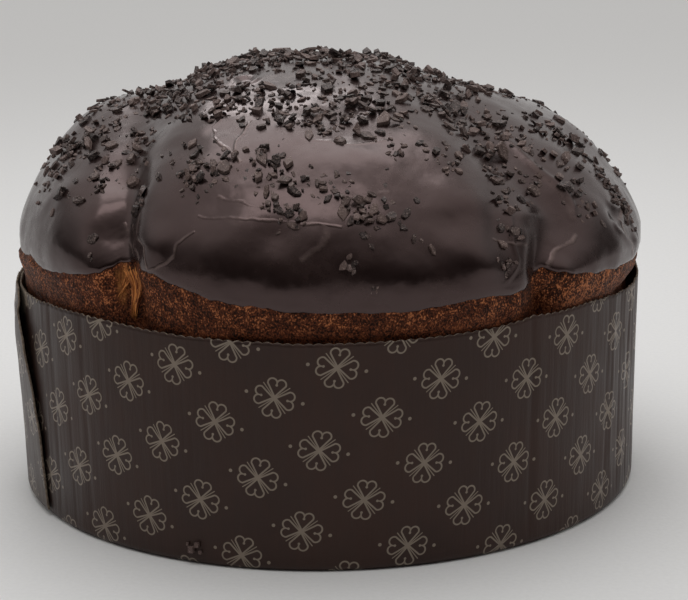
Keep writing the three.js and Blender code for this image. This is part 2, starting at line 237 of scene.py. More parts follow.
# Lobed dome, close to the one in the CAD model
dome = {
    "beltHeight": 86.0,
    "beltRadius": 104.6,
    "apexHeight": 142.0,
    "apexShift": -9.0,
    "swellingCentreHeight": 55.0,
    "lobeSwell": {"amount": 1.2, "fromFold": 26.0, "reach": 14.0},
    "foldDeepening": 0.45,
    "foldWidening": 0.3,
    # roundness of the outline, and how it changes to the front, to the right and to both sides
    "fullness": (1.9, 0.1, 0.08, -0.15),
    # how far the belt stands out at the front and the right, and is drawn in at the left
    "beltFront": 0.4,
    "beltRight": 1.0,
    "beltLeft": 1.5,
    "tuckBelow": 0.003,
    # azimuth, height, depth and half width where each fold passes
    "folds": [
        [(-35, 70, 2.5, 5), (-37.4, 88, 7.5, 6.5), (-39.4, 101, 8.5, 7.5), (-41, 111, 6.5, 8),
         (-46, 119, 5.5, 9), (-54, 125.5, 4.5, 10), (-70, 130, 3.5, 10), (-95, 131.5, 3, 10),
         (-120, 130, 4, 10),
         (-136, 121, 6, 10), (-143, 106, 7, 9), (-145, 88, 7, 8), (-145, 70, 2.5, 7)],
        [(39, 70, 2, 6), (39.5, 88, 5.5, 7), (43, 96, 5, 9), (46.7, 103, 4, 10), (45.5, 114, 3.2, 11),
         (48.5, 124, 2, 12), (62, 131.5, 0.9, 11), (90, 133.5, 0.9, 11), (114, 131, 2.2, 12),
         (132, 121, 4.5, 11), (141, 106, 6, 10), (143, 88, 6, 8), (142, 70, 2, 7)],
    ],
    "channel": [(31, 84, 0.6, 6), (32, 92, 1.6, 6), (33, 102, 1.8, 7), (37, 112, 1.6, 8),
                (42, 120, 0.6, 9)],
    # azimuth, height, reach and amount
    "swellings": [(-86, 127, 23, 4.8), (-97, 137, 14, -3), (88, 117, 19, 3), (72, 131, 15, 2.2)],
    # azimuth and height of the glaze's lower edge
    "glazeEdge": [
        (-172, 82.5), (-150, 85.5), (-144, 92), (-138, 88), (-115, 83), (-90, 82), (-78, 82.9),
        (-67, 84.6), (-60, 83.5), (-52, 84.6), (-46, 86.5), (-43, 88.2), (-41.2, 90.8), (-39.8, 93.4),
        (-36, 94.4), (-33.8, 93.6), (-32.4, 91), (-30, 90.6), (-25, 87.4), (-19, 84.5), (-13, 82.8),
        (-4.5, 81.6), (3, 81), (11.5, 80.8), (18, 81.6), (25, 82.7), (32, 82.5), (35, 83), (37.4, 84.6),
        (39.2, 87.6), (41.2, 88.8), (43, 86), (46, 84.3), (54.7, 81.8), (62, 81), (70, 80.2), (92, 82),
        (118, 84.5), (135, 86), (142, 90.5), (150, 86), (166, 82),
    ],
    "edgeWaver": [(5, 0.5), (1.8, 0.25)],   # length and amount
}


def domePoint(azimuth, height):
    side, front = sin(radians(azimuth)), cos(radians(azimuth))
    rise = clamp((height - dome["beltHeight"]) / (dome["apexHeight"] - dome["beltHeight"]))
    plain, toFront, toRight, toSides = dome["fullness"]
    fullness = plain + toFront * front + toRight * side + toSides * side * side
    sideways = dome["beltLeft"] if side < 0 else dome["beltRight"]
    belt = dome["beltRadius"] + dome["beltFront"] * front + side * sideways
    drop = max(dome["beltHeight"] - height, 0)
    radius = belt * (1 - rise ** fullness) ** (1 / fullness) - dome["tuckBelow"] * drop * drop
    return Vector((radius * side + dome["apexShift"] * rise, -radius * front, height))


# Curves through knots on the dome, as close points, each with a size and a half width
class Creases:
    def __init__(self, curves, steps=24):
        self.points, self.sizes = [], []
        for knots in curves:
            corners = [domePoint(knot[0], knot[1]) for knot in knots]
            for index in range(len(knots) - 1):
                before, after = corners[max(index - 1, 0)], corners[min(index + 2, len(knots) - 1)]
                start, end = corners[index], corners[index + 1]
                for step in range(steps):
                    t = step / steps
                    self.points.append(0.5 * (2 * start + (end - before) * t
                                              + (2 * before - 5 * start + 4 * end - after) * t * t
                                              + (3 * start - before - 3 * end + after) * t ** 3))
                    self.sizes.append((between(knots[index][2], knots[index + 1][2], t),
                                       between(knots[index][3], knots[index + 1][3], t)))
        self.tree = kdtree.KDTree(len(self.points))
        for index, point in enumerate(self.points):
            self.tree.insert(point, index)
        self.tree.balance()

    def nearest(self, point):
        found, index, distance = self.tree.find(point)
        return (*self.sizes[index], distance)


folds = [Creases([fold]) for fold in dome["folds"]]
channel = Creases([dome["channel"]])
swellings = [(domePoint(azimuth, height), *sizes) for azimuth, height, *sizes in dome["swellings"]]
swellingCentre = Vector((dome["apexShift"] / 2, 0, dome["swellingCentreHeight"]))


def outward(point):
    return (point - swellingCentre).normalized()


# Point of the dome with its folds, sunk below the glaze's face; the folds are deeper in what lies below
def lobedPoint(azimuth, height, sunk, relief=None):
    point = domePoint(azimuth, height)
    offset, toFold = -sunk, 1e9
    for fold in folds:
        depth, width, distance = fold.nearest(point)
        reach = width + dome["foldWidening"] * sunk
        offset -= (depth + dome["foldDeepening"] * sunk) * hump(distance, reach)
        toFold = min(toFold, distance)
    depth, width, distance = channel.nearest(point)
    offset -= depth * hump(distance, width)
    swell = dome["lobeSwell"]
    offset += swell["amount"] * hump(toFold - swell["fromFold"], swell["reach"])
    for centre, reach, amount in swellings:
        offset += amount * hump((centre - point).length, reach)
    if relief:
        offset += relief(point)
    return point + outward(point) * offset


# Height of a ring between a lower edge and the top of the dome, by equal steps of angle
def ringHeight(edge, share):
    span = dome["apexHeight"] - dome["beltHeight"]
    start = asin(clamp((edge - dome["beltHeight"]) / span, -1, 1))
    return dome["beltHeight"] + span * sin(between(start, pi / 2, share))


def glazeEdge(azimuth):
    spot = around(azimuth, 100, 0)
    edge = valueAround(dome["glazeEdge"], azimuth)
    for length, amount in dome["edgeWaver"]:
        edge += amount * noise.noise(spot / length)
    return edge


# Case wall
case = {
    "rimRadius": 105.0,
    "footRadius": 103.9,
    "rimHeight": 72.4,
    "rimSlope": 0.5,
    "flare": 1.3,
    "paper": 0.55,
    "flangeInnerRadius": 92.0,
    "flangeThickness": 0.8,
    "cornerRadius": 2.2,
    "outerHeights": [4, 7, 11, 16, 22, 28, 34, 40, 46, 52, 57, 61, 64.5, 67.5, 69.5, 71],
    "innerHeights": [71, 68, 62, 50, 36, 22, 10, 4],
    # azimuth and how far the cut edge stands above or below its plain height there
    "rimLift": [
        (-92, -1.2), (-82, -0.6), (-72, 0.1), (-64, 0.8), (-56, 1.7), (-47, 2.2), (-40, 2.1), (-30, 1.3),
        (-24, 0.8), (-12, 0.5), (-5, 0.0), (15, 0.0), (28, 0.3), (33, 0.9), (37, 1.7), (40, 1.2),
        (43, 0.9), (51, 0.8), (57, 0.0), (62, -0.8), (70, -1.8), (76, -2.2), (90, -1.5), (110, 0.0),
        (135, 0.8), (160, -0.4), (180, 0.3), (215, -0.5), (240, 0.4),
    ],
    "pinkings": 216,
    "pinkingDepth": 0.5,
    "pinkingShape": 1.4,
    "columns": 864,
    "flutes": 216,
    "fluteDepth": 0.006,
    # length round, share of it upwards, depth
    "dents": [(1.3, 0.05, 0.022), (2.7, 0.12, 0.05), (6.5, 0.3, 0.09), (16.0, 0.05, 0.25)],
    # azimuth, half width and depth of each upright crease
    "creases": [
        (36.5, 0.6, 0.3), (38.0, 1.4, -0.2), (-47.0, 0.6, 0.25), (-52.0, 0.5, 0.2), (-57.5, 0.6, 0.3),
        (-60.5, 0.5, -0.25), (58.0, 0.5, 0.25), (60.5, 0.5, -0.3), (64.0, 0.5, 0.35), (66.5, 0.5, -0.3),
        (69.5, 0.5, 0.4), (73.0, 0.5, -0.3), (76.0, 0.5, 0.35), (128.0, 0.9, 0.35), (-150.0, 1.0, 0.3),
        (172.0, 0.8, 0.3), (150.0, 0.6, 0.3), (-128.0, 0.7, 0.3),
    ],
    "creaseWander": (0.7, 18),   # amount in degrees, and length
    "reliefFrom": (1, 9),        # heights where the relief starts and is full
    "seam": -100.0,
    "wrapRadius": 104.5,
    # place across and how far the print climbs there, and how far it moves across at two heights
    "printClimb": [
        (-110, 1.4), (-80, 1.2), (-50, -0.3), (-10, 0), (20, 2.1), (50, 5.9), (80, 9.9), (110, 12.8),
    ],
    "printTurnLow": [
        (-110, -1.3), (-80, 0.1), (-10, 0.3), (20, 1.0), (50, 0.9), (80, -0.2), (110, -1.2),
    ],
    "printTurnHigh": [
        (-110, 5.2), (-80, 3.1), (-50, 0.3), (-10, 0), (20, 0.4), (50, -0.6), (80, -2.7), (110, -4.7),
    ],
    "printHeights": (10, 60),
    # the paper is drawn in to the crust at the left
    "drawnIn": {"azimuth": -84.0, "spread": 22.0, "amount": 1.1, "from": 50.0},
}
lap = {
    "freeEdge": [(0, -61.8), (9, -62.6), (25, -63.2), (37, -64.6), (56, -67.2), (67, -71.5), (75, -75.0)],
    "joinedEdge": -100.0,
    # height and how far the free edge stands off the wall
    "lift": [
        (0, 0.15), (6, 0.4), (16, 0.75), (27, 0.95), (45, 1.4), (58, 2.0), (65, 1.9), (70, 1.0),
        (75, 0.1),
    ],
    "clearance": 0.15,
    "aboveRim": 0.2,
    "rimShift": 0.7,     # degrees by which its cut teeth stand beside those of the wall
    # shares of the way from the free edge to the joined one, and amounts
    "reach": 0.75,
    "slack": (0.35, 0.45, 0.25),
    "curl": (0.35, 0.04),
    "wave": (0.12, 12, 11),
    "joinedFrom": 0.9,
    # height and width in degrees of the worn strip along the free edge
    "wornEdge": [(0, 0.3), (45, 0.5), (60, 1.4), (75, 1.8)],
    "steps": (90, 44),
    "paintedSheenFrom": (-136.0, -108.0),   # places across the print where the painted sheen starts and is full
    "paintedSheenStreak": 26.0,
}


def wallRadius(height):
    share = clamp(height / case["rimHeight"])
    return between(case["footRadius"], case["rimRadius"], share ** case["flare"])


# The rim stands slightly higher at the right and was cut a little unevenly
def onRim(point):
    lift = case["rimSlope"] * point.x / case["rimRadius"] + valueAround(case["rimLift"], azimuthOf(point))
    point.z += lift * smooth(point.z, case["rimHeight"] / 2, case["rimHeight"])
    return point


# How far the paper stands off its plain wall: flutes, dents and upright creases
def paperRelief(azimuth, height):
    spot = around(azimuth, case["wrapRadius"], height)
    offset = case["fluteDepth"] * sin(case["flutes"] * radians(azimuth))
    for length, upwards, depth in case["dents"]:
        offset += depth * noise.noise(Vector((spot.x, spot.y, spot.z * upwards)) / length)
    amount, length = case["creaseWander"]
    for place, halfWidth, depth in case["creases"]:
        away = (azimuth - place + 180) % 360 - 180
        wander = amount * noise.noise(Vector((height / length, place, 0)))
        offset -= depth * hump(away + wander, halfWidth)
    drawn = case["drawnIn"]
    drawnShare = smooth(height, drawn["from"], case["rimHeight"])
    offset -= drawn["amount"] * hump(azimuth - drawn["azimuth"], drawn["spread"]) * drawnShare
    return offset * smooth(height, *case["reliefFrom"])


# The rim is cut in a zigzag
def rimTop(azimuth):
    tooth = abs(cos(0.5 * case["pinkings"] * radians(azimuth))) ** case["pinkingShape"]
    return case["rimHeight"] - case["pinkingDepth"] * (1 - tooth)


# Where a place of the wall lies in the print: the strip is slightly conical, so its print climbs and turns
# towards both sides
def printPlace(across, upwards):
    low, high = straightAt(case["printTurnLow"], across), straightAt(case["printTurnHigh"], across)
    foot, top = case["printHeights"]
    turned = between(low, high, (upwards - foot) / (top - foot))
    return across - turned, upwards - straightAt(case["printClimb"], across)


def wrapUv(mesh):
    wrap = mesh.loops.layers.uv.new("wrap")
    for face in mesh.faces:
        middle = (azimuthOf(face.calc_center_median()) - case["seam"]) % 360 + case["seam"]
        for loop in face.loops:
            azimuth = azimuthOf(loop.vert.co)
            azimuth += 360 * round((middle - azimuth) / 360)
            loop[wrap].uv = printPlace(radians(azimuth) * case["wrapRadius"], loop.vert.co.z / mm)


def makeWall():
    corner, foot, paper = case["cornerRadius"], case["footRadius"], case["paper"]
    rows = [(case["flangeInnerRadius"], 0), (foot - corner, 0)]
    for turn in (radians(30), radians(60), radians(90)):
        rows.append((foot - corner * (1 - sin(turn)), corner * (1 - cos(turn))))
    rows += [(wallRadius(height), height) for height in case["outerHeights"]]
    rows += [(wallRadius(case["rimHeight"]), None), (wallRadius(case["rimHeight"]) - paper, None)]
    rows += [(wallRadius(height) - paper, height) for height in case["innerHeights"]]
    rows += [(radius, case["flangeThickness"]) for radius in (foot - corner, case["flangeInnerRadius"])]

    def place(ring, azimuth):
        radius, height = rows[ring]
        height = rimTop(azimuth) if height is None else min(height, 0.99 * rimTop(azimuth))
        return onRim(around(azimuth, radius + paperRelief(azimuth, height), height))

    mesh = shapedTube(len(rows), case["columns"], place, closed=True)
    wrapUv(mesh)
    for face in mesh.faces:
        middle = face.calc_center_median()
        flat = abs(face.normal.z) > 0.5
        inside = hypot(middle.x, middle.y) < (wallRadius(middle.z / mm) - 0.6 * paper - 0.35) * mm
        face.material_index = 1 if middle.z > 60 * mm and (flat or inside) else 0
    return mesh


# Loose end of the strip: a sheet whose free edge stands off and whose other edge lies on the wall
def makeLap():
    mesh = bmesh.new()
    columns, rows = lap["steps"]
    slack, slackPlace, slackReach = lap["slack"]
    curl, curlReach = lap["curl"]
    wave, waveTurns, waveLength = lap["wave"]
    bmesh.ops.create_grid(mesh, x_segments=columns, y_segments=rows, size=0.5)
    for vert in mesh.verts:
        along, up = vert.co.x + 0.5, vert.co.y + 0.5
        height = between(case["cornerRadius"], case["rimHeight"], up)
        azimuth = between(valueAt(lap["freeEdge"], height), lap["joinedEdge"], along)
        height = between(case["cornerRadius"], rimTop(azimuth + lap["rimShift"]) + lap["aboveRim"], up)
        free = 1 - smooth(along, 0, lap["reach"])
        lift = lap["clearance"] + free * valueAt(lap["lift"], height)
        lift += slack * hump(along - slackPlace, slackReach) * smooth(up, 0.2, 0.8)
        lift += curl * hump(along, curlReach) * smooth(up, 0.2, 0.95)
        lift *= 1 - smooth(along, lap["joinedFrom"], 1)
        waving = wave * noise.noise(Vector((along * waveTurns, height / waveLength, 3)))
        waving *= 1 - smooth(along, 0.7, lap["joinedFrom"])
        radius = wallRadius(height) + paperRelief(azimuth, height) + case["paper"] + lift + waving
        vert.co = onRim(around(azimuth, radius, height)) * mm
    bmesh.ops.recalc_face_normals(mesh, faces=mesh.faces)
    first = mesh.faces[:][0]
    if first.normal.dot(first.calc_center_median()) < 0:
        bmesh.ops.reverse_faces(mesh, faces=mesh.faces)
    bmesh.ops.solidify(mesh, geom=mesh.faces[:], thickness=case["paper"] * mm)
    wrapUv(mesh)
    for face in mesh.faces:
        radial = face.calc_center_median()
        radial.z = 0
        outer = face.normal.dot(radial.normalized()) > 0.6
        height = face.calc_center_median().z / mm
        worn = azimuthOf(radial) > valueAt(lap["freeEdge"], height) - valueAt(lap["wornEdge"], height)
        face.material_index = 0 if outer and not worn else 1
    return mesh


# Printed paper
ink = {
    "origin": (2.14, 63.94),
    "first": (18.81, 8.44),   # steps of the lattice on which the clovers stand
    "second": (12.9, -16.92),
    "turn": 12.4,
    "line": 0.26,
    "leafSide": ((0.10, 0.55), (2.66, 4.11)),
    "leafTop": (1.38, 4.6, 1.42),
    "notch": (4.05, 0.40),
    "rayReach": 5.7,
    "rayWidth": 0.16,
    "dot": (8.7, 0.55),
    "soft": 0.14,
    "middle": 0.5,
}
paperLook = {
    "gloss": 0.42,
    "sheen": (1.0, 0.75, 0.68, 1),
    "dark": (0.0175, 0.0100, 0.0085, 1),
    "warm": (0.0300, 0.0155, 0.0120, 1),
    "ink": (0.225, 0.188, 0.148, 1),
    "edge": (0.26, 0.205, 0.150, 1),
    "edgeDark": (0.10, 0.072, 0.052, 1),
    # painted sheen of the lap: the darker and lighter grey it turns towards its free edge
    "paintedSheenDark": (0.050, 0.041, 0.035, 1),
    "paintedSheen": (0.180, 0.158, 0.138, 1),
    "roughness": 0.46,
    "inkSheen": 0.04,
    "edgeRoughness": 0.85,
}
boardLook = {
    "dark": (0.115, 0.068, 0.038, 1),
    "light": (0.19, 0.12, 0.07, 1),
    "roughness": 0.9,
}


# The line print of clovers on a slanting lattice, by the distance from the nearest line of the nearest clover
def cloverMask(paint, across, upwards):
    (ax, ay), (bx, by) = ink["first"], ink["second"]
    spread = ax * by - ay * bx
    px, py = across - ink["origin"][0], upwards - ink["origin"][1]
    first = paint.maths("ROUND", (px * by - py * bx) / spread)
    second = paint.maths("ROUND", (py * ax - px * ay) / spread)
    qx, qy = px - first * ax - second * bx, py - first * ay - second * by
    c, s = cos(radians(ink["turn"])), sin(radians(ink["turn"]))
    x, y = qx * c - qy * s, qx * s + qy * c
    ax, ay = abs(x), abs(y)
    small, large = paint.maths("MINIMUM", ax, ay), paint.maths("MAXIMUM", ax, ay)

    def length(u, v):
        return paint.maths("SQRT", u * u + v * v)

    (sx, sy), (ex, ey) = ink["leafSide"]
    dx, dy = ex - sx, ey - sy
    along = ((small - sx) * dx + (large - sy) * dy) / (dx * dx + dy * dy)
    along = paint.maths("MINIMUM", paint.maths("MAXIMUM", along, 0.0), 1.0)
    side = length(small - sx - along * dx, large - sy - along * dy)
    tx, ty, radius = ink["leafTop"]
    top = abs(length(small - tx, large - ty) - radius) + paint.step(large, ey, ey - 0.3) * 9
    notch = length(small, large - ink["notch"][0]) - (ink["notch"][1] - ink["line"])
    diagonal = 0.7071
    beyond = paint.maths("MAXIMUM", (small + large) * diagonal - ink["rayReach"], 0.0)
    ray = length((large - small) * diagonal, beyond) + (ink["line"] - ink["rayWidth"])
    dot = length(ax - ink["dot"][0], y) - (ink["dot"][1] - ink["line"])
    middle = length(x, y) - (ink["middle"] - ink["line"])
    nearest = side
    for other in (top, notch, ray, dot, middle):
        nearest = paint.maths("MINIMUM", nearest, other)
    return paint.step(nearest, ink["line"] + ink["soft"] / 2, ink["line"] - ink["soft"] / 2)


# The lap is painted grey towards its free edge: a painted sheen, standing in for the light its paper catches
# at a grazing angle
def paperPaint(name, paintedSheen=False):
    paint = Paint(name, {"Specular IOR Level": paperLook["gloss"], "Specular Tint": paperLook["sheen"]})
    wrap = paint.node("ShaderNodeUVMap", {"uv_map": "wrap"})
    across, upwards = paint.parts(wrap)[:2]
    mask = cloverMask(paint, across, upwards)
    place = paint.place()
    upright = paint.stretched(place, (1, 1, 0.06))
    blotch = paint.grain(place, 0.03, 3, 0.6)
    streak = paint.grain(upright, 0.0016, 2, 0.6)
    fibre = paint.grain(place, 0.0005, 2, 0.6)
    shade = paint.step(blotch * 0.7 + streak * 0.3, 0.35, 0.65)
    stock = paint.blend(shade, paperLook["dark"], paperLook["warm"])
    worn = mask * (0.80 + 0.35 * paint.grain(place, 0.004, 3, 0.7))
    colour = paint.blend(worn, stock, paperLook["ink"])
    if paintedSheen:
        # painted sheen: grey that stands in for the light the lap catches at a grazing angle, towards its
        # free edge
        paintedSheenGrey = paint.blend(paint.step(streak, 0.35, 0.65), paperLook["paintedSheenDark"], paperLook["paintedSheen"])
        share = paint.step(across + (streak - 0.5) * lap["paintedSheenStreak"], *lap["paintedSheenFrom"])
        share = share * paint.step(across, 1, 0) * (0.35 + 0.65 * paint.step(blotch, 0.40, 0.60))
        colour = paint.blend(share, colour, paintedSheenGrey)
    roughness = paperLook["roughness"] + (streak - 0.5) * 0.3 + (blotch - 0.5) * 0.3
    roughness = roughness - mask * paperLook["inkSheen"]
    fine = paint.bump(streak * 0.7 + fibre * 0.3, 0.0003, 0.7)
    return paint.wear(Base_Color=colour, Roughness=roughness, Normal=fine)


def cutEdgePaint():
    paint = Paint("paper cut edge", {"Roughness": paperLook["edgeRoughness"]})
    place = paint.place()
    fibres = paint.step(paint.grain(place, 0.0012, 3, 0.6), 0.35, 0.7)
    colour = paint.blend(fibres, paperLook["edgeDark"], paperLook["edge"])
    return paint.wear(Base_Color=colour, Normal=paint.bump(paint.grain(place, 0.0004), 0.0001, 0.5))


def boardPaint():
    paint = Paint("brown board", {"Roughness": boardLook["roughness"]})
    place = paint.place()
    fibres = paint.grain(paint.stretched(place, (1, 0.25, 1)), 0.0008, 3, 0.65)
    blotch = paint.grain(place, 0.02, 2)
    shade = paint.step(fibres * 0.6 + blotch * 0.4, 0.35, 0.65)
    colour = paint.blend(shade, boardLook["dark"], boardLook["light"])
    return paint.wear(Base_Color=colour, Normal=paint.bump(fibres, 0.00025, 0.7))


printedPaper, cutEdge = paperPaint("printed paper"), cutEdgePaint()
makePiece("paper-wall", makeWall(), [printedPaper, cutEdge], ["case_wall"])
makePiece("paper-lap", makeLap(), [paperPaint("rubbed paper", True), cutEdge])

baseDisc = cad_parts["case_base"]
board = boardPaint()
if baseDisc.material_slots:
    for materialSlot in baseDisc.material_slots:
        materialSlot.material = board
else:
    baseDisc.data.materials.append(board)


# Bread
bread = {
    "columns": 720,
    "foot": [(6.2, 0), (2.2, 3), (1.35, 12), (1.4, 30), (1.45, 43), (1.6, 56)],
    "bottom": 2.3,
    "sunkAtRim": 1.75,
    "sunkAtLip": 0.5,
    "sunkUnderGlaze": 2.75,
    "gap": {"azimuth": 79.0, "spread": 11.0, "depth": 3.4},
    "bulge": {"azimuth": -88.0, "spread": 36.0, "amount": 1.1},
    "crustFrom": 66.0,
    "crustRings": 62,
    "hiddenRings": 9,
    "lumps": [(7.0, 0.45), (2.6, 0.22), (1.1, 0.10)],
    "bands": (0.3, 9, 1.6),   # depth, length round and length upwards
    # azimuth, height, reach and amount: the bump in the right fold and the crack below it
    "knobs": [(40.4, 84.2, 2.8, 1.5), (46.5, 76.0, 5.0, 0.6), (36.5, 77.5, 4.0, 0.7)],
    "crack": {"azimuth": 40.6, "halfWidth": 1.1, "depth": 2.4, "top": 83.0},
    "torn": {"azimuth": -37.6, "lean": -0.03, "bottom": 76.0, "top": 94.5, "halfWidth": 3.0},
}


def sideGap(azimuth, height):
    gap, rim = bread["gap"], case["rimHeight"]
    below = smooth(height, rim - 25, rim - 6)
    above = 1 - smooth(height, rim - 1, rim + 4)
    return gap["depth"] * hump(azimuth - gap["azimuth"], gap["spread"]) * below * above


def tornShare(azimuth, height):
    torn = bread["torn"]
    middle = torn["azimuth"] + torn["lean"] * (height - torn["bottom"])
    across = (azimuth - middle) * 1.8 / torn["halfWidth"]
    return hump(across, 1) * smooth(height, torn["bottom"] - 3, torn["bottom"] + 3)


def crustPoint(azimuth, height, above):
    sunk = between(bread["sunkAtLip"], bread["sunkAtRim"], smooth(-above, 1, 9))
    bulge = bread["bulge"]
    sunk -= bulge["amount"] * hump(azimuth - bulge["azimuth"], bulge["spread"]) * smooth(-above, 0, 2)
    sunk = between(sunk, bread["sunkUnderGlaze"], smooth(above, 0, 3.5))
    shown = 1 - smooth(above, 0.5, 3.5)

    def relief(point):
        offset = sum(depth * noise.noise(point / length) for length, depth in bread["lumps"])
        depth, sideways, upwards = bread["bands"]
        offset += depth * noise.noise(Vector((point.x / sideways, point.y / sideways, point.z / upwards)))
        torn = tornShare(azimuth, height)
        offset += torn * (0.1 + 0.4 * noise.noise(Vector((azimuth * 2.2, height / 9, 0))))
        crack = bread["crack"]
        closed = smooth(height, crack["top"] - 5, crack["top"])
        offset -= crack["depth"] * hump(azimuth - crack["azimuth"], crack["halfWidth"]) * (1 - closed)
        for place, rise, reach, amount in bread["knobs"]:
            offset += amount * hump((domePoint(place, rise) - point).length, reach)
        return offset * shown

    point = lobedPoint(azimuth, height, sunk + sideGap(azimuth, height), relief)
    widest = wallRadius(height) + min(paperRelief(azimuth, height), 0) - case["paper"] - 0.35
    radius = hypot(point.x, point.y)
    lean = case["rimSlope"] * sin(radians(azimuth)) + valueAround(case["rimLift"], azimuth)
    if point.z < case["rimHeight"] + lean + 0.8 and radius > widest:
        point.x *= widest / radius
        point.y *= widest / radius
    return point


def makeBread():
    bottom = bread["bottom"]
    foot = [(wallRadius(bottom + rise) - inset, bottom + rise) for inset, rise in bread["foot"]]
    crustRings, hidden = bread["crustRings"], bread["hiddenRings"]
    rings = len(foot) + crustRings + hidden + 2

    def place(ring, azimuth):
        if ring == 0:
            return Vector((0, 0, bottom))
        if ring <= len(foot):
            radius, height = foot[ring - 1]
            return around(azimuth, radius - sideGap(azimuth, height), height)
        edge = glazeEdge(azimuth)
        ring -= len(foot) + 1
        if ring < crustRings:
            height = between(bread["crustFrom"], edge + 3.5, ring / (crustRings - 1))
            return crustPoint(azimuth, height, height - edge)
        if ring == crustRings + hidden:
            return lobedPoint(0, dome["apexHeight"], bread["sunkUnderGlaze"])
        share = (ring - crustRings + 1) / (hidden + 1)
        return lobedPoint(azimuth, ringHeight(edge + 3.5, share), bread["sunkUnderGlaze"])

    return shapedTube(rings, bread["columns"], place)


crustLook = {
    "gloss": 0.25,
    "sheen": (1.0, 0.70, 0.55, 1),
    "pit": (0.009, 0.0026, 0.0018, 1),
    "brown": (0.105, 0.0260, 0.0100, 1),
    "light": (0.52, 0.185, 0.072, 1),
    "golden": (0.20, 0.060, 0.016, 1),
    "pale": (0.42, 0.17, 0.050, 1),
    "grain": 0.00056,
    # places in metres: where painted light makes it lighter at the right and at the left, and where the
    # painted shade near the case's rim gives way above it
    "paintedLightRight": (0.045, 0.088),
    "paintedLightLeft": (-0.080, -0.100),
    "paintedShadeAtRim": (0.0725, 0.0795),
    "tear": (0.0036, 0.0016),
}


def crustPaint():
    constants = {"Specular IOR Level": crustLook["gloss"], "Specular Tint": crustLook["sheen"]}
    paint = Paint("baked crust", constants)
    place = paint.place()
    x, y, z = paint.parts(place)
    upright = paint.stretched(place, (1, 1, 0.8))
    grain = paint.grain(upright, crustLook["grain"], 2.5, 0.62)
    coarse = paint.grain(place, 0.0024, 2, 0.55)
    blotch = paint.grain(place, 0.011, 2, 0.5)
    paintedLightRight = paint.step(x, *crustLook["paintedLightRight"])
    paintedLightLeft = paint.step(x, *crustLook["paintedLightLeft"])
    rise = paint.step(z, *crustLook["paintedShadeAtRim"])
    tone = grain * 0.62 + coarse * 0.26 + blotch * 0.12
    brown = paint.blend(paint.step(tone, 0.41, 0.53), crustLook["pit"], crustLook["brown"])
    # the bright grain is the crust's own colour; painted light gives more of it at the right and left sides,
    # and painted shade gives less of it near the case's rim
    bright = paint.step(tone + paintedLightRight * 0.035 + paintedLightLeft * 0.02, 0.53, 0.62) * (0.25 + rise * 0.75)
    colour = paint.blend(bright, brown, crustLook["light"])
    torn = bread["torn"]
    middle = domePoint(torn["azimuth"] + 0.6, 0.5 * (torn["bottom"] + torn["top"]))
    shares = (1, 0.25, 0.36)
    middle = tuple(part * mm * share for part, share in zip(middle, shares))
    near = paint.distance(paint.stretched(place, shares), middle)
    threads = paint.grain(paint.stretched(place, (1, 1, 0.16)), 0.0007, 2, 0.6)
    tear = paint.step(near + (coarse - 0.5) * 0.0022, *crustLook["tear"])
    tornColour = paint.blend(paint.step(threads, 0.36, 0.66), crustLook["golden"], crustLook["pale"])
    colour = paint.blend(tear * paint.step(threads, 0.22, 0.42), colour, tornColour)
    height = grain * 0.75 + coarse * 0.25
    roughness = 0.50 + (1 - grain) * 0.25
    return paint.wear(Base_Color=colour, Roughness=roughness, Normal=paint.bump(height, 0.0010, 1.0))


makePiece("baked-bread", makeBread(), [crustPaint()], ["bread"])


# Torn strands of bread in the left fold
strands = {
    "seed": 5,
    "sides": 6,
    "steps": 12,
    # the fan of strands: azimuth of its middle and half width in degrees, each at a share of the way up,
    # and the heights of its foot and its top
    "middle": [(0, -37.3), (0.4, -37.2), (0.7, -37.5), (1, -38.0)],
    "halfWidth": [(0, 0.3), (0.4, 0.7), (0.7, 1.4), (1, 2.5)],
    "height": (73.5, 94.6),
    "count": 40,
    # a thin tuft beside it: count, azimuth and height of its foot and its top
    "tuft": (5, (-40.0, 81.0), (-38.6, 91.0)),
    "radius": (0.15, 0.36),
    "proud": (0.1, 0.8),
    "sunk": 0.15,
    "golden": (0.16, 0.036, 0.009, 1),
    "pale": (0.72, 0.285, 0.080, 1),
}


def makeStrands():
    draw = random.Random(strands["seed"])
    whole = bmesh.new()
    sides, steps = strands["sides"], strands["steps"]
    tuftCount, tuftFoot, tuftTop = strands["tuft"]
    for index in range(strands["count"] + tuftCount):
        side = draw.uniform(-1, 1)
        first, last = draw.uniform(0, 0.55), draw.uniform(0.75, 1)
        radius, proud = draw.uniform(*strands["radius"]), draw.uniform(*strands["proud"])
        wobble = draw.uniform(0, 50)

        def spine(share):
            along = between(first, last, share)
            if index < strands["count"]:
                azimuth = straightAt(strands["middle"], along)
                azimuth += side * straightAt(strands["halfWidth"], along)
                height = between(*strands["height"], along)
            else:
                azimuth = between(tuftFoot[0], tuftTop[0], along) + side * 0.4
                height = between(tuftFoot[1], tuftTop[1], along)
            azimuth += 0.22 * noise.noise(Vector((share * 2.5, wobble, 0)))
            point = crustPoint(azimuth, height, height - glazeEdge(azimuth))
            return point + outward(point) * (proud * sin(pi * min(share + 0.2, 1)) - strands["sunk"])

        def place(ring, azimuth):
            share = ring / (steps - 1)
            centre = spine(share)
            along = (spine(min(share + 0.05, 1)) - spine(max(share - 0.05, 0))).normalized()
            facing = outward(centre)
            across = along.cross(facing).normalized()
            thickness = radius * sin(pi * share) ** 0.5 if 0 < ring < steps - 1 else 0
            turn = radians(azimuth)
            return centre + across * thickness * cos(turn) + facing * thickness * sin(turn)

        addToned(whole, meshData("strand", shapedTube(steps, sides, place)), draw.random())
    return whole


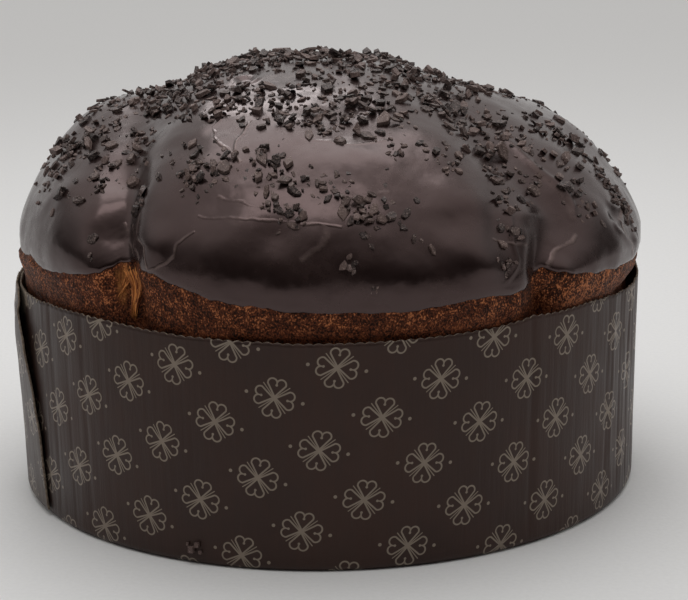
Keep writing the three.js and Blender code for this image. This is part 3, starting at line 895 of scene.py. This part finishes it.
def strandPaint():
    paint = Paint("torn bread", {"Specular IOR Level": 0.3, "Roughness": 0.62})
    tone = paint.node("ShaderNodeAttribute", {"attribute_name": "tone"}, None, "Fac")
    threads = paint.grain(paint.stretched(paint.place(), (1, 1, 0.2)), 0.0006, 2, 0.6)
    shade = paint.step(tone * 0.55 + threads * 0.45, 0.25, 0.75)
    colour = paint.blend(shade, strands["golden"], strands["pale"])
    return paint.wear(Base_Color=colour, Normal=paint.bump(threads, 0.0003, 0.7))


makePiece("torn-strands", makeStrands(), [strandPaint()])


# Glaze
glaze = {
    "columns": 760,
    "rings": 112,
    "gather": 0.36,       # the columns stand closer at the front and wider apart at the back
    "lowerRings": 1.15,   # above 1, the rings stand closer low down
    "thickness": 2.3,
    "lip": [(1.0, 0.08), (0.5, 0.2), (0.2, 0.34), (0.02, 0.52), (0.1, 0.85)],  # height above the edge, depth
    "innerShares": [0.02, 0.07, 0.16, 0.3, 0.46, 0.64, 0.82],
    "waves": [(17.0, 0.75), (8.0, 0.26), (3.6, 0.05)],
    # azimuth, height, reach and amount of low bumps and dips
    "bumps": [
        (-28.5, 99.5, 6.0, 1.3), (-33.5, 97, 3.0, -1.2), (-7, 103.3, 6.5, -0.9), (23.5, 104.4, 4.5, -0.8),
        (26, 96.0, 7.0, 0.9), (13, 122, 9, 0.7), (69.5, 85.4, 4.0, 1.2), (44, 88.0, 3.5, 0.8),
        (63, 97, 4.0, -1.0), (-56, 108.7, 6, 0.5), (52.5, 108, 5, 0.7), (30, 109, 5, 0.7),
    ],
    # azimuth, height, size and half width where each ridge passes
    "ridges": [
        [(54, 122.6, 0.3, 2.0), (52, 115.5, 0.7, 1.6), (53, 109.3, 0.8, 1.3), (53, 103.8, 0.7, 1.2),
         (51.5, 100.5, 0.2, 1.2)],
        [(64, 99.9, 0.3, 1.2), (67.5, 96.4, 0.7, 1.1), (65.5, 94.1, 0.6, 1.1), (61.5, 94.1, 0.5, 1.1),
         (63.5, 89.5, 0.6, 1.1), (66.5, 85.4, 0.5, 1.1)],
        [(76, 99.0, 0.2, 1.0), (73, 95.4, 0.6, 0.9), (71, 91.5, 0.6, 0.9), (72.5, 86.5, 0.5, 0.9),
         (73, 82.5, 0.2, 0.9)],
        [(36.5, 104.9, 0.3, 0.8), (34.5, 98.2, 0.5, 0.8), (34, 91.8, 0.4, 0.8), (31, 87.1, 0.2, 0.8)],
    ],
    # azimuth, height, radius, depth and height of the rim of each round dimple
    "dimples": [(-30.7, 138.7, 4.0, 1.0, 0.5)],
    "dimpleRim": 0.9,
    "lineDepth": 0.00022,
    "lineWander": (0.008, 0.03),   # length in metres and share of the radius by which the lines wander
    # half width, strength, and the azimuths and heights that each fine line passes
    "lines": [
        (0.7, 0.6, [(-31, 91.8), (-29, 93), (-27, 94.7), (-25.5, 97), (-24.5, 99.9), (-21.5, 103.3)]),
        (0.8, 1.0, [(-24, 130.6), (-24.5, 129.1), (-23, 126.8), (-21.5, 125.6), (-19.5, 125.2),
                    (-16.5, 123.5)]),
        (0.8, 1.0, [(-15, 130.9), (-15.5, 128), (-17, 126.4), (-16.5, 123.9), (-14.5, 121.5)]),
        (0.9, 0.4, [(-18, 112.9), (-15, 112.4), (-11.5, 111.4), (-8.5, 111.2)]),
        (0.7, 0.4, [(-21, 107.9), (-14, 107.7), (-7.5, 107.6), (0.5, 106.6), (4.5, 106)]),
        (1.5, 0.35, [(1.5, 106), (1.5, 103.8), (0, 101), (-3, 97)]),
        (1.2, 0.3, [(7.5, 113.5), (10.5, 112.9), (14.5, 114)]),
        (0.9, 0.4, [(2.5, 127.2), (6, 126.8), (8, 126), (14, 125.6), (19, 125.8)]),
        (1.8, 0.35, [(51.5, 116), (51.5, 110), (52.5, 105), (51.5, 99.9)]),
        (1.3, 0.8, [(69.5, 97.6), (64.5, 94.7), (64.5, 90.6), (67, 86.5), (68, 82.5)]),
        (0.9, 0.5, [(30.5, 99.3), (33, 97.6), (37.5, 96.4)]),
        (1.1, 0.9, [(42, 89.5), (44.5, 92.4), (47, 94.1), (50, 95.3)]),
        (0.8, 0.8, [(-35, 106.6), (-34.5, 101), (-31.5, 98.2), (-31, 92.5)]),
        (0.8, 0.8, [(-39, 104.4), (-37.5, 99.9), (-33.5, 94.6)]),
        (0.8, 0.7, [(-41, 104.5), (-39.5, 100.5), (-36.5, 95.9)]),
    ],
}
ridges = Creases(glaze["ridges"], steps=16)
glazeBumps = [(domePoint(azimuth, height), *sizes) for azimuth, height, *sizes in glaze["bumps"]]
glazeDimples = [(domePoint(azimuth, height), *sizes) for azimuth, height, *sizes in glaze["dimples"]]


def glazeRelief(point):
    offset = sum(depth * noise.noise(point / length) for length, depth in glaze["waves"])
    size, halfWidth, distance = ridges.nearest(point)
    offset += size * hump(distance, halfWidth)
    for centre, reach, amount in glazeBumps:
        offset += amount * hump((centre - point).length, reach)
    for centre, radius, depth, rim in glazeDimples:
        apart = (centre - point).length
        offset += rim * hump(apart - radius, glaze["dimpleRim"])
        offset -= depth * (1 - smooth(apart, 0.3 * radius, radius))
    return offset


def makeGlaze():
    inner, lip, rings = glaze["innerShares"], glaze["lip"], glaze["rings"]
    total = len(inner) + len(lip) + rings + 2

    def place(ring, azimuth):
        if ring == 0:
            return lobedPoint(0, dome["apexHeight"], glaze["thickness"])
        azimuth -= degrees(glaze["gather"] * sin(radians(azimuth)))
        edge = glazeEdge(azimuth)
        ring -= 1
        if ring < len(inner):
            share = inner[len(inner) - 1 - ring]
            depth = between(1.0, glaze["thickness"], smooth(share, 0, 0.08))
            return lobedPoint(azimuth, ringHeight(edge + 0.4, share), depth)
        ring -= len(inner)
        if ring < len(lip):
            above, depth = lip[len(lip) - 1 - ring]
            return lobedPoint(azimuth, edge + above, depth, glazeRelief)
        share = ((ring - len(lip) + 1) / (rings + 1)) ** glaze["lowerRings"]
        if ring == len(lip) + rings:
            return lobedPoint(0, dome["apexHeight"], 0, glazeRelief)
        return lobedPoint(azimuth, ringHeight(edge + 1.2, share), 0, glazeRelief)

    return shapedTube(total, glaze["columns"], place)


glazeLook = {
    "gloss": 0.80,
    "sheen": (1.0, 0.72, 0.70, 1),
    "dark": (0.0115, 0.0065, 0.0060, 1),
    "warm": (0.0175, 0.0100, 0.0090, 1),
    # painted highlight: the lighter colour of the fine lines on the glaze
    "line": (0.130, 0.095, 0.085, 1),
    "roughness": (0.17, 0.32),
}


# Fine raised lines, by the angle at which a point lies from the centre of the dome; they are also coloured
# lighter, a painted highlight along each ridge
def lineMask(paint, place):
    facing = paint.vector("NORMALIZE", paint.vector("SUBTRACT", place, tuple(swellingCentre * mm)))
    length, amount = glaze["lineWander"]
    wander = paint.node("ShaderNodeTexNoise", None, {"Vector": place, "Scale": 1 / length}, "Color")
    wander = paint.stretched(paint.vector("SUBTRACT", wander, (0.5, 0.5, 0.5)), (amount, amount, amount))
    facing = paint.vector("ADD", facing, wander)
    mask = 0.0
    for halfWidth, strength, knots in glaze["lines"]:
        corners = [domePoint(*knot) for knot in knots]
        wide = halfWidth / (corners[0] - swellingCentre).length
        for start, end in zip(corners, corners[1:]):
            first, span = outward(start), outward(end) - outward(start)
            away = paint.vector("SUBTRACT", facing, tuple(first))
            along = paint.vector("DOT_PRODUCT", away, tuple(span / span.length_squared), "Value")
            along = paint.maths("MINIMUM", paint.maths("MAXIMUM", along, 0.0), 1.0)
            nearest = paint.node("ShaderNodeVectorMath", {"operation": "SCALE"}, {0: tuple(span), 3: along})
            gap = paint.distance(away, nearest)
            mask = paint.maths("MAXIMUM", mask, paint.step(gap, wide, 0.0) * strength)
    return mask


def glazePaint():
    constants = {"Specular IOR Level": glazeLook["gloss"], "Specular Tint": glazeLook["sheen"]}
    paint = Paint("dark chocolate glaze", constants)
    place = paint.place()
    cloud = paint.grain(place, 0.020, 3, 0.55)
    fine = paint.grain(place, 0.0022, 3, 0.55)
    colour = paint.blend(paint.step(cloud, 0.35, 0.65), glazeLook["dark"], glazeLook["warm"])
    smoothest, roughest = glazeLook["roughness"]
    roughness = smoothest + (roughest - smoothest) * paint.step(cloud * 0.7 + fine * 0.3, 0.35, 0.65)
    ripple = paint.bump(paint.grain(place, 0.007, 2, 0.5), 0.0005, 0.25)
    lines = lineMask(paint, place)
    # painted highlight along the fine raised lines, where light catches on them
    colour = paint.blend(lines * paint.step(cloud * 0.5 + fine * 0.5, 0.34, 0.56), colour, glazeLook["line"])
    ripple = paint.bump(lines, glaze["lineDepth"], 1.0, ripple)
    return paint.wear(Base_Color=colour, Roughness=roughness, Normal=paint.bump(fine, 0.0001, 0.25, ripple))


glazeSkin = makePiece("glaze-skin", makeGlaze(), [glazePaint()], ["glaze"])


# Flakes and crumbs
scatter = {
    "seed": 7,
    "flakes": 1800,
    "crumbs": 2600,
    "kinds": 16,
    "flakeLength": (2.0, 8.6),
    "flakeThickness": (0.13, 0.30),   # as shares of the length
    # length of the longest pieces at the foot of the dome, and how much longer they may be per millimetre up
    "lowLength": (87.0, 1.3, 0.33),
    "highestLift": 1.5,
    "spread": 1.35,
    "leaning": 0.3,
    "leanAngle": (12, 36),
    "cell": 9.0,
    "thinnest": 0.55,
    "flakeTilt": 11,
    "crumbKinds": 6,
    "crumbLength": (0.6, 1.9),
    "crumbThickness": (0.5, 0.9),
    "crumbTilt": 40,
    "sink": 0.35,
    "crownShare": 0.42,
    "crownRadius": 68.0,
    # azimuth, height, reach and share of each cluster
    "clusters": [
        (-66.5, 111.4, 3.6, 5), (-65.5, 117.5, 4.2, 8), (-67, 121.2, 3.6, 6), (-78, 127.6, 4.8, 8),
        (-90.5, 130.9, 4.2, 6), (-45.5, 131.3, 3, 3), (-55.5, 105.5, 3, 2), (-49.5, 112.4, 3, 3),
        (-52, 117.9, 3, 4), (-37.5, 110.3, 2.7, 4), (-43.5, 97, 1.5, 1), (-26.5, 121.7, 3.6, 5),
        (-19.5, 118.9, 3, 3), (-24.5, 116.5, 2.4, 3), (-51, 134.2, 4.2, 5), (-28, 134.5, 4.2, 7),
        (-58, 138.1, 3, 5), (-9.5, 122.6, 2.7, 3), (-5.5, 121.2, 2.7, 3), (-9.5, 115.5, 2.4, 3),
        (-2, 117.9, 2.4, 2), (1, 115.5, 2.4, 3), (7, 117, 2.4, 3), (-4.5, 107.1, 2.4, 3),
        (-7, 110.3, 2.4, 2), (-11, 134.5, 4.2, 6), (-0.5, 132, 3, 4), (8, 130.9, 3, 5), (18, 129.1, 3, 4),
        (18, 135.1, 4.2, 6), (26, 130.2, 2.4, 3), (21, 123.5, 2.4, 2), (18.5, 120.3, 2.1, 2),
        (7.5, 111.4, 2.7, 5), (12, 110.9, 2.7, 5), (9.5, 106, 2.4, 3), (15.5, 106.6, 1.8, 2),
        (29, 122.6, 3, 4), (30, 118.9, 2.4, 3), (46.5, 127.6, 4.2, 8), (58, 126.8, 4.2, 8),
        (56, 121.7, 3.6, 6), (45, 123, 3.6, 6), (87.5, 127.6, 3, 3), (66, 134.5, 4.2, 4),
        (40, 112.9, 2.4, 4), (44.5, 117.9, 2.4, 3), (37.5, 107.7, 1.8, 3), (35.5, 101.6, 1.5, 2),
        (31.5, 91.8, 1.5, 2), (70.5, 121.7, 3.6, 5), (72, 117, 3.6, 6), (73.5, 111.9, 3, 5),
        (60, 114, 3, 3), (69.5, 106, 2.4, 4), (72, 99.9, 2.4, 5), (71, 94.1, 2.1, 4),
        (56.5, 106.6, 2.4, 2), (55.5, 99.3, 2.4, 2), (49, 112.4, 2.1, 2), (43.5, 108.2, 1.5, 1),
        (-70, 141.1, 3, 5), (45, 141.9, 4.2, 6), (56, 141.1, 3.6, 6), (48, 138.5, 4.2, 6),
        (46.5, 134.2, 4.2, 6), (65, 137.2, 3, 3), (-3.5, 136.7, 2.4, 3), (13, 138.3, 2.4, 3),
        (5, 96.4, 0.9, 1), (8, 88.9, 0.9, 1), (18.5, 99.9, 1.2, 1), (-60, 124, 6, 7), (-72, 113, 5, 5),
        (-48, 122, 5, 4), (-82, 120, 6, 6), (100, 122, 9, 14), (120, 112, 9, 12), (150, 118, 10, 14),
        (172, 110, 9, 12), (-160, 118, 10, 14), (-135, 112, 8, 10), (-110, 120, 10, 14),
        (-118, 104, 7, 6), (-100, 112, 8, 10), (140, 128, 10, 14), (-150, 130, 10, 14), (95, 106, 6, 6),
    ],
    # azimuth, height and length of the crumbs on the wall
    "wallCrumbs": [(-24.4, 5.2, 2.6), (-23.4, 6.8, 2.0), (-22.9, 4.4, 1.4), (-25.2, 6.6, 1.2)],
    # places with few flakes: azimuth, height and reach
    "bare": [(-29.5, 139.3, 9.0), (-8, 139.5, 7.0), (14, 122, 6.5), (-18, 109, 5.0)],
}
chance = random.Random(scatter["seed"])
surface = BVHTree.FromPolygons([vert.co / mm for vert in glazeSkin.data.vertices],
                               [polygon.vertices for polygon in glazeSkin.data.polygons])
barePlaces = [(domePoint(azimuth, height), reach) for azimuth, height, reach in scatter["bare"]]
clusterShares = [cluster[3] for cluster in scatter["clusters"]]


# Irregular plate with snapped corners and slightly chipped edges, one unit long
def flakeKind():
    mesh = bmesh.new()
    bmesh.ops.create_circle(mesh, cap_ends=True, segments=chance.choice([4, 4, 5, 5, 6]), radius=0.5)
    squeeze = chance.uniform(0.34, 0.75)
    for vert in mesh.verts:
        vert.co *= chance.uniform(0.60, 1.20)
        vert.co.y *= squeeze
    extruded = bmesh.ops.extrude_face_region(mesh, geom=mesh.faces[:])
    taper = chance.uniform(0.78, 1.0)
    for vert in extruded["geom"]:
        if isinstance(vert, bmesh.types.BMVert):
            vert.co = Vector((vert.co.x * taper, vert.co.y * taper, 1 + chance.uniform(-0.25, 0.2)))
    bmesh.ops.recalc_face_normals(mesh, faces=mesh.faces)
    bmesh.ops.bevel(mesh, geom=mesh.edges[:], offset=0.04, affect="EDGES", segments=1, profile=0.5,
                    material=-1)
    return meshData("flake-kind", mesh)


def crumbKind():
    mesh = bmesh.new()
    bmesh.ops.create_cube(mesh, size=0.8)
    for vert in mesh.verts:
        vert.co *= chance.uniform(0.65, 1.15)
        vert.co.z *= 0.7
    return meshData("crumb-kind", mesh)


# A place on the glaze, in a cluster or on the crown
def scatterPlace():
    if chance.random() < scatter["crownShare"]:
        reach = scatter["crownRadius"] * sqrt(chance.random()) / (dome["beltRadius"] + 4)
        height = dome["beltHeight"] + (dome["apexHeight"] - dome["beltHeight"]) * sqrt(1 - reach * reach)
        return domePoint(chance.uniform(-180, 180), height)
    azimuth, height, reach, share = chance.choices(scatter["clusters"], clusterShares)[0]
    middle = domePoint(azimuth, height)
    away = Vector([chance.gauss(0, scatter["spread"] * reach) for axis in range(3)])
    facing = outward(middle)
    return middle + away - facing * away.dot(facing)


def onGlaze(point):
    facing = outward(point)
    return surface.ray_cast(point + facing * 20, -facing, 40)[:2]


def cellOf(spot):
    return tuple(int(value // scatter["cell"]) for value in spot)


def neighbours(pile, spot):
    x, y, z = cellOf(spot)
    for step in range(27):
        yield from pile.get((x + step % 3 - 1, y + step // 3 % 3 - 1, z + step // 9 - 1), ())


# Puts copies of the kinds on the glaze; few that land on another one stay, lifted and leaning on it
def scatterCopies(kinds, count, size, pile):
    whole = bmesh.new()
    foot, shortest, growth = scatter["lowLength"]
    placed = 0
    while placed < count:
        spot, normal = onGlaze(scatterPlace())
        if spot is None or spot.z < foot:
            continue
        if any((centre - spot).length < reach * chance.uniform(0.5, 1.1) for centre, reach in barePlaces):
            continue
        length, thickness, tilt = size(placed / count)
        shrink = min(1, (shortest + growth * (spot.z - foot)) / length)
        length, thickness = length * shrink, thickness * shrink
        lift = -scatter["sink"]
        for centre, radius, top in neighbours(pile, spot):
            apart = (centre - spot).length
            if apart < 0.8 * (radius + 0.5 * length):
                lift = max(lift, top - 0.5 * scatter["sink"] - 0.6 * apart / radius)
                tilt = max(tilt, radians(chance.uniform(*scatter["leanAngle"])))
        if lift > scatter["highestLift"] or (lift > 0 and chance.random() > scatter["leaning"]):
            continue
        rise = 0.25 * length * sin(tilt)
        turn = normal.to_track_quat("Z", "Y").to_matrix().to_4x4()
        spin = Matrix.Rotation(chance.uniform(0, 2 * pi), 4, "Z")
        scale = Matrix.Diagonal((length, length, thickness, 1))
        place = Matrix.Translation(spot + normal * (lift + rise))
        copy = chance.choice(kinds).copy()
        copy.transform(Matrix.Scale(mm, 4) @ place @ turn @ spin @ Matrix.Rotation(tilt, 4, "Y") @ scale)
        addToned(whole, copy, chance.random())
        pile.setdefault(cellOf(spot), []).append((spot, 0.5 * length, lift + thickness))
        placed += 1
    return whole


def flakeSize(order):
    shortest, longest = scatter["flakeLength"]
    length = between(longest, shortest, order ** 0.34) * chance.uniform(0.85, 1.15)
    thickness = length * chance.uniform(*scatter["flakeThickness"])
    return length, max(thickness, scatter["thinnest"]), radians(abs(chance.gauss(0, scatter["flakeTilt"])))


def crumbSize(order):
    length = between(*scatter["crumbLength"], chance.random() ** 1.6)
    thickness = length * chance.uniform(*scatter["crumbThickness"])
    return length, thickness, radians(chance.uniform(0, scatter["crumbTilt"]))


flakeLook = {
    "gloss": 0.5,
    "sheen": (1.0, 0.82, 0.80, 1),
    "dark": (0.0060, 0.0035, 0.0030, 1),
    "light": (0.105, 0.070, 0.061, 1),
    "dust": (0.36, 0.275, 0.245, 1),
}


def flakePaint():
    constants = {"Specular IOR Level": flakeLook["gloss"], "Specular Tint": flakeLook["sheen"]}
    paint = Paint("broken chocolate", constants)
    place = paint.place()
    tone = paint.node("ShaderNodeAttribute", {"attribute_name": "tone"}, None, "Fac")
    speck = paint.grain(place, 0.00045, 3, 0.65)
    blotch = paint.grain(place, 0.0016, 2, 0.6)
    shade = paint.step(tone * 0.6 + blotch * 0.4, 0.25, 0.75)
    colour = paint.blend(shade, flakeLook["dark"], flakeLook["light"])
    colour = paint.blend(paint.step(speck, 0.54, 0.66) * 0.7, colour, flakeLook["dust"])
    roughness = 0.30 + blotch * 0.2 + tone * 0.14
    return paint.wear(Base_Color=colour, Roughness=roughness,
                      Normal=paint.bump(speck * 0.4 + blotch * 0.6, 0.0009, 0.8))


pile = {}
flakeMaterial = flakePaint()
flakeKinds = [flakeKind() for kind in range(scatter["kinds"])]
crumbKinds = [crumbKind() for kind in range(scatter["crumbKinds"])]
flakes = scatterCopies(flakeKinds, scatter["flakes"], flakeSize, pile)
crumbs = scatterCopies(crumbKinds, scatter["crumbs"], crumbSize, pile)


# A few crumbs stick to the wall near its foot, in front at the left
def addWallCrumbs(mesh):
    for azimuth, height, length in scatter["wallCrumbs"]:
        spot = around(azimuth, wallRadius(height) + 0.35 * length, height)
        turn = Vector((spot.x, spot.y, 0)).to_track_quat("Z", "Y").to_matrix().to_4x4()
        scale = Matrix.Diagonal((0.8 * length, length, length, 1))
        copy = crumbKinds[0].copy()
        copy.transform(Matrix.Scale(mm, 4) @ Matrix.Translation(spot) @ turn @ scale)
        addToned(mesh, copy, 1.0)


addWallCrumbs(crumbs)
makePiece("chocolate-flakes", flakes, [flakeMaterial], rounded=False)
makePiece("chocolate-crumbs", crumbs, [flakeMaterial], rounded=False)
for kind in flakeKinds + crumbKinds:
    bpy.data.meshes.remove(kind)


# Camera, floor and light
view = {
    "place": (0.0, -729.6, 246.7),
    "target": (5.4, 0.0, 58.5),
    "roll": -0.0160,
    "focus": 2200.0,       # focal length in pixels of the 688 pixel wide image
    "imageWidth": 688.0,
    "sensor": 36.0,
    "clip": (0.05, 60.0),
}
studio = {
    "floorRadius": 20.0,
    "floorDark": (0.74, 0.74, 0.74, 1),
    "floorPale": (0.80, 0.80, 0.80, 1),
    "skyLow": (0.085, 0.083, 0.081, 1),
    "skyBehind": (0.85, 0.84, 0.83, 1),
    "skyHigh": (1.0, 0.985, 0.965, 1),
    "cameraSide": (0.13, 0.12, 0.115, 1),
    "skyStrength": 0.82,
    # name: place, point that it faces, width, height, watts
    "lights": {
        "overhead": ((0.0, 0.14, 0.72), (0, 0, 0.1), 0.5, 0.36, 1.0),
        "behind": ((-0.08, 0.45, 0.6), (0, 0, 0.12), 0.26, 0.14, 0.45),
        "left": ((-0.85, -0.05, 0.45), (0, 0, 0.07), 0.6, 0.4, 0.05),
        "right": ((0.85, 0.0, 0.45), (0, 0, 0.07), 0.6, 0.4, 0.05),
        "window": ((-0.05, -0.24, 0.72), (-0.02, -0.09, 0.1), 0.4, 0.24, 0.6),
    },
}


def makeCamera():
    place, target = Vector(view["place"]), Vector(view["target"])
    forward = (target - place).normalized()
    level = forward.cross(Vector((0, 0, 1))).normalized()
    upright = level.cross(forward)
    c, s = cos(view["roll"]), sin(view["roll"])
    right, up = c * level + s * upright, c * upright - s * level
    data = bpy.data.cameras.new("camera")
    data.sensor_fit = "HORIZONTAL"
    data.sensor_width = view["sensor"]
    data.lens = view["sensor"] * view["focus"] / view["imageWidth"]
    data.clip_start, data.clip_end = view["clip"]
    camera = bpy.data.objects.new("camera", data)
    scene.collection.objects.link(camera)
    turn = Matrix((right, up, -forward)).transposed().to_4x4()
    camera.matrix_world = Matrix.Translation(place * mm) @ turn
    scene.camera = camera


def makeFloor():
    mesh = bmesh.new()
    bmesh.ops.create_circle(mesh, cap_ends=True, segments=96, radius=studio["floorRadius"])
    data = meshData("floor", mesh)
    paint = Paint("pale floor", {"Roughness": 0.75, "Specular IOR Level": 0.3})
    weave = paint.grain(paint.place(), 0.0016, 1)
    colour = paint.blend(weave, studio["floorDark"], studio["floorPale"])
    data.materials.append(paint.wear(Base_Color=colour, Normal=paint.bump(weave, 0.0002, 0.3)))
    floorPiece = bpy.data.objects.new("floor", data)
    scene.collection.objects.link(floorPiece)


def makeLights():
    for name, (place, facing, width, height, watts) in studio["lights"].items():
        data = bpy.data.lights.new(name, "AREA")
        data.shape = "RECTANGLE"
        data.size, data.size_y, data.energy = width, height, watts
        lamp = bpy.data.objects.new(name, data)
        scene.collection.objects.link(lamp)
        lamp.location = place
        lamp.rotation_euler = (Vector(facing) - Vector(place)).to_track_quat("-Z", "Y").to_euler()
        lamp.visible_camera = False


# Pale surroundings, brighter overhead and dimmer on the side of the camera
def makeSky():
    sky = bpy.data.worlds.new("studio")
    scene.world = sky
    sky.use_nodes = True
    tree = sky.node_tree
    background = tree.nodes["Background"]
    background.inputs["Strength"].default_value = studio["skyStrength"]
    coordinates = tree.nodes.new("ShaderNodeTexCoord")
    split = tree.nodes.new("ShaderNodeSeparateXYZ")
    tree.links.new(coordinates.outputs["Generated"], split.inputs[0])

    def graded(axis, low, high, first, second, target):
        spread = tree.nodes.new("ShaderNodeMapRange")
        spread.interpolation_type = "SMOOTHSTEP"
        spread.inputs["From Min"].default_value, spread.inputs["From Max"].default_value = low, high
        tree.links.new(split.outputs[axis], spread.inputs["Value"])
        mix = tree.nodes.new("ShaderNodeMix")
        mix.data_type = "RGBA"
        mix.inputs[6].default_value, mix.inputs[7].default_value = first, second
        tree.links.new(spread.outputs[0], mix.inputs[0])
        tree.links.new(mix.outputs[2], target)
        return mix

    both = tree.nodes.new("ShaderNodeMix")
    both.data_type = "RGBA"
    both.blend_type = "MULTIPLY"
    both.inputs[0].default_value = 1
    upwards = graded("Z", 0.05, 0.8, studio["skyLow"], studio["skyHigh"], both.inputs[6])
    graded("Y", 0.3, 0.9, studio["skyLow"], studio["skyBehind"], upwards.inputs[6])
    graded("Y", -0.95, -0.25, studio["cameraSide"], (1, 1, 1, 1), both.inputs[7])
    tree.links.new(both.outputs[2], background.inputs["Color"])


makeCamera()
makeFloor()
makeLights()
makeSky()
scene.view_settings.view_transform = "Standard"
scene.view_settings.look = "None"
print("camera, floor and light made")

bpy.context.view_layer.update()
